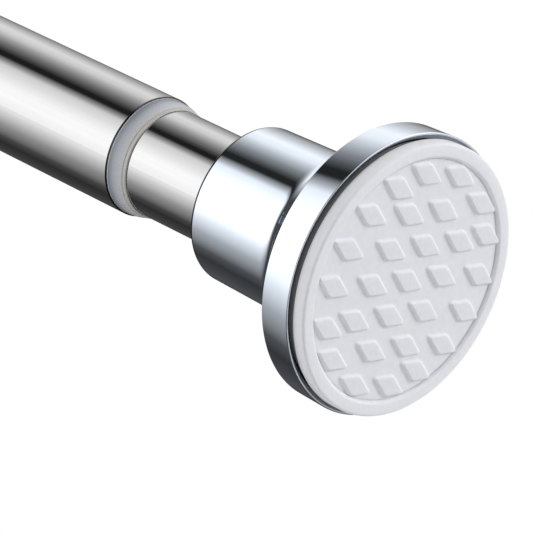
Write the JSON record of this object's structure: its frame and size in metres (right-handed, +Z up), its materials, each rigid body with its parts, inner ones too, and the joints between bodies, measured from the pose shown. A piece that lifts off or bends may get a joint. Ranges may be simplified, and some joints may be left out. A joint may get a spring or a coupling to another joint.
{
  "type": "spring tension rod",
  "caption": "Telescoping steel rod that twists longer and clamps between two walls on an inner spring, with swivelling flared ends and soft studded pads.",
  "frame": {"origin": "centre of the fixed end's wall face, on the rod's axis", "axes": "+X along the rod, from the fixed wall face to the moving one; +Z up"},
  "size_m": [0.45, 0.0568, 0.0568],
  "materials": {
    "fitting_chrome": "polished plating over moulded plastic",
    "pad_rubber": "matte, soft white",
    "tube_steel": "polished stainless",
    "bush_plastic": "milky translucent",
    "inner_plastic": "natural nylon",
    "spring_steel": "bright drawn wire",
    "zinc_steel": "zinc plated"
  },
  "bodies": {
    "fixed_end": {"fixed_end_fitting": "fitting_chrome", "fixed_end_pad": "pad_rubber"},
    "outer_body": {"outer_tube": "tube_steel", "outer_plug": "inner_plastic", "outer_swivel_screw": "zinc_steel", "outer_swivel_washer": "zinc_steel", "guide_bush": "bush_plastic", "tension_spring": "spring_steel"},
    "screw_carriage": {"screw_seat": "inner_plastic", "seat_pin": "zinc_steel", "drive_screw": "zinc_steel", "stop_collar": "zinc_steel", "stop_pin": "zinc_steel"},
    "glide": {"glide_ring": "inner_plastic"},
    "inner_body": {"inner_tube": "tube_steel", "thread_nut": "inner_plastic", "nut_pins": "zinc_steel", "inner_plug": "inner_plastic", "tube_sleeve": "inner_plastic", "inner_swivel_screw": "zinc_steel", "inner_swivel_washer": "zinc_steel"},
    "moving_end": {"moving_end_fitting": "fitting_chrome", "moving_end_pad": "pad_rubber"}
  },
  "joints": [
    {"name": "fixed_end_swivel", "type": "hinge", "parent": "fixed_end", "child": "outer_body", "pos_m": [0.02, 0, 0], "axis": [1, 0, 0], "continuous": true},
    {"name": "spring_squeeze", "type": "slide", "parent": "outer_body", "child": "screw_carriage", "axis": [1, 0, 0], "range_m": [-0.018, 0], "stiffness_N_per_m": 3500, "deforming": ["tension_spring"]},
    {"name": "thread_extend", "type": "slide", "parent": "screw_carriage", "child": "glide", "axis": [1, 0, 0], "range_m": [-0.004, 0.12]},
    {"name": "tube_twist", "type": "hinge", "parent": "glide", "child": "inner_body", "pos_m": [0.3, 0, 0], "axis": [1, 0, 0], "range_deg": [-180, 5400]},
    {"name": "moving_end_swivel", "type": "hinge", "parent": "inner_body", "child": "moving_end", "pos_m": [0.43, 0, 0], "axis": [1, 0, 0], "continuous": true}
  ],
  "couplings": [
    {"joint": "tube_twist", "follows": "thread_extend", "rad_per_m": 785.4}
  ]
}
